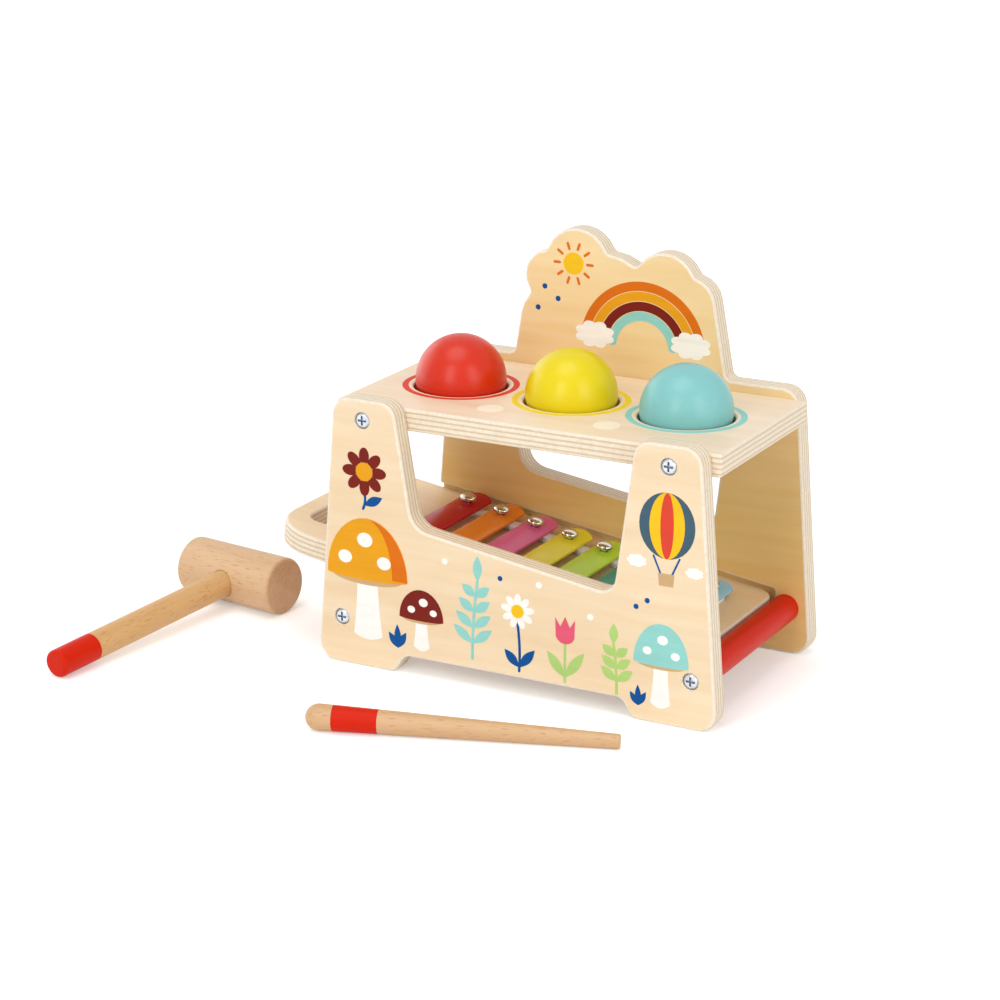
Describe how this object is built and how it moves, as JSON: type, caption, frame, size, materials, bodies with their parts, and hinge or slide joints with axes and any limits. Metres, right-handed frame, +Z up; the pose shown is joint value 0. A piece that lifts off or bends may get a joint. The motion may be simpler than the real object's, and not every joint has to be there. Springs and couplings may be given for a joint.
{
  "type": "pounding xylophone",
  "caption": "Wooden pounding bench with balls gripped in its table, a sloping pull-out xylophone tray underneath, a mallet and a beater.",
  "frame": {"origin": "middle of the underside of the whole set's bounding box, on the floor", "axes": "+X along the bench to the right, +Y from the front panel to the rear panel, +Z up"},
  "size_m": [0.3474, 0.2264, 0.217],
  "materials": {
    "plywood": "clear satin lacquer",
    "beech": "clear satin lacquer",
    "red_paint": "satin paint",
    "ball_red": "satin paint",
    "ball_yellow": "satin paint",
    "ball_aqua": "satin paint",
    "rubber": "matte",
    "felt": "pressed felt",
    "zinc": "zinc plated",
    "nickel": "polished nickel",
    "bar_red": "gloss",
    "bar_orange": "gloss",
    "bar_pink": "gloss",
    "bar_yellow": "gloss",
    "bar_green": "gloss",
    "bar_teal": "gloss",
    "bar_blue": "gloss",
    "bar_light_blue": "gloss"
  },
  "bodies": {
    "bench": {"front_panel": "plywood", "rear_panel": "plywood", "table_top": "plywood", "grip_ring_left": "rubber", "grip_ring_middle": "rubber", "grip_ring_right": "rubber", "dowel_left": "red_paint", "dowel_right": "red_paint", "panel_screw_front_table_left": "zinc", "panel_screw_front_table_right": "zinc", "panel_screw_front_dowel_left": "zinc", "panel_screw_front_dowel_right": "zinc", "panel_screw_rear_table_left": "zinc", "panel_screw_rear_table_right": "zinc", "panel_screw_rear_dowel_left": "zinc", "panel_screw_rear_dowel_right": "zinc"},
    "tray": {"xylophone_tray": "plywood", "felt_front": "felt", "felt_rear": "felt", "bar_1": "bar_red", "bar_2": "bar_orange", "bar_3": "bar_pink", "bar_4": "bar_yellow", "bar_5": "bar_green", "bar_6": "bar_teal", "bar_7": "bar_blue", "bar_8": "bar_light_blue", "bar_screw_1_front": "nickel", "bar_screw_1_rear": "nickel", "bar_screw_2_front": "nickel", "bar_screw_2_rear": "nickel", "bar_screw_3_front": "nickel", "bar_screw_3_rear": "nickel", "bar_screw_4_front": "nickel", "bar_screw_4_rear": "nickel", "bar_screw_5_front": "nickel", "bar_screw_5_rear": "nickel", "bar_screw_6_front": "nickel", "bar_screw_6_rear": "nickel", "bar_screw_7_front": "nickel", "bar_screw_7_rear": "nickel", "bar_screw_8_front": "nickel", "bar_screw_8_rear": "nickel"},
    "ball_left": {"ball_left": "ball_red"},
    "ball_middle": {"ball_middle": "ball_yellow"},
    "ball_right": {"ball_right": "ball_aqua"},
    "mallet": {"mallet_head": "beech", "mallet_handle": "beech"},
    "beater": {"beater": "beech"}
  },
  "joints": [
    {"name": "tray_slide", "type": "slide", "parent": "bench", "child": "tray", "axis": [-0.9895, 0, 0.1444], "range_m": [0, 0.215]},
    {"name": "ball_left_drop", "type": "slide", "parent": "bench", "child": "ball_left", "axis": [0, 0, 1], "range_m": [-0.0575, 0.06], "deforming": ["grip_ring_left"]},
    {"name": "ball_middle_drop", "type": "slide", "parent": "bench", "child": "ball_middle", "axis": [0, 0, 1], "range_m": [-0.067, 0.06], "deforming": ["grip_ring_middle"]},
    {"name": "ball_right_drop", "type": "slide", "parent": "bench", "child": "ball_right", "axis": [0, 0, 1], "range_m": [-0.0765, 0.06], "deforming": ["grip_ring_right"]},
    {"name": "mallet_lift", "type": "slide", "parent": "bench", "child": "mallet", "axis": [0, 0, 1], "range_m": [0, 0.25]},
    {"name": "beater_lift", "type": "slide", "parent": "bench", "child": "beater", "axis": [0, 0, 1], "range_m": [0, 0.25]}
  ]
}
